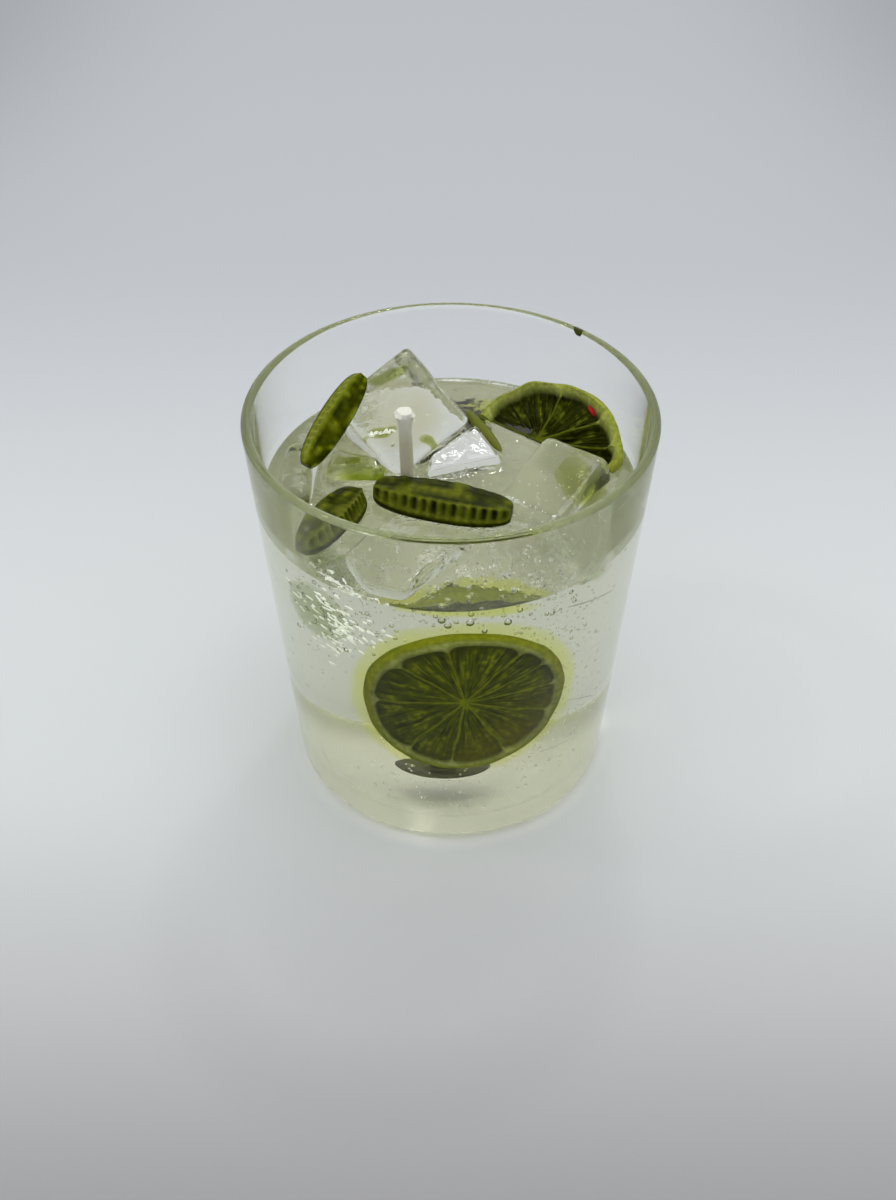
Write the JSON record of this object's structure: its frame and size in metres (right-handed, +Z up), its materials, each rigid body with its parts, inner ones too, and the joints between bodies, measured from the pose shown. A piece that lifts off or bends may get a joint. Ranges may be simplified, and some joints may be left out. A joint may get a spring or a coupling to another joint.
{
  "type": "gel candle in a drinking glass",
  "caption": "Gel candle that imitates an iced lime drink: a clear tumbler of clear gel with cast gel ice cubes, moulded wax lime slices and an upright wick.",
  "frame": {"origin": "centre of the tumbler's foot, on the surface it stands on", "axes": "+Z up along the tumbler's axis; the picture looks along +Y and down, with +X to its right"},
  "size_m": [0.084, 0.084, 0.0903],
  "materials": {
    "glass": "polished clear glass with a slight olive edge",
    "gel": "clear mineral-oil gel with fine bubbles",
    "ice": "clear cast gel, wet gloss",
    "lime_wax": "moulded translucent wax, satin to wet",
    "wick_cotton": "waxed braided cotton"
  },
  "bodies": {
    "root": {"glass": "glass", "gel": "gel", "ice_back": "ice", "ice_right": "ice", "ice_small": "ice", "ice_wick": "ice", "ice_left": "ice", "ice_front": "ice", "lime_wheel": "lime_wax", "lime_back": "lime_wax", "lime_left": "lime_wax", "lime_front": "lime_wax", "lime_front_left": "lime_wax", "wick": "wick_cotton"}
  },
  "joints": []
}
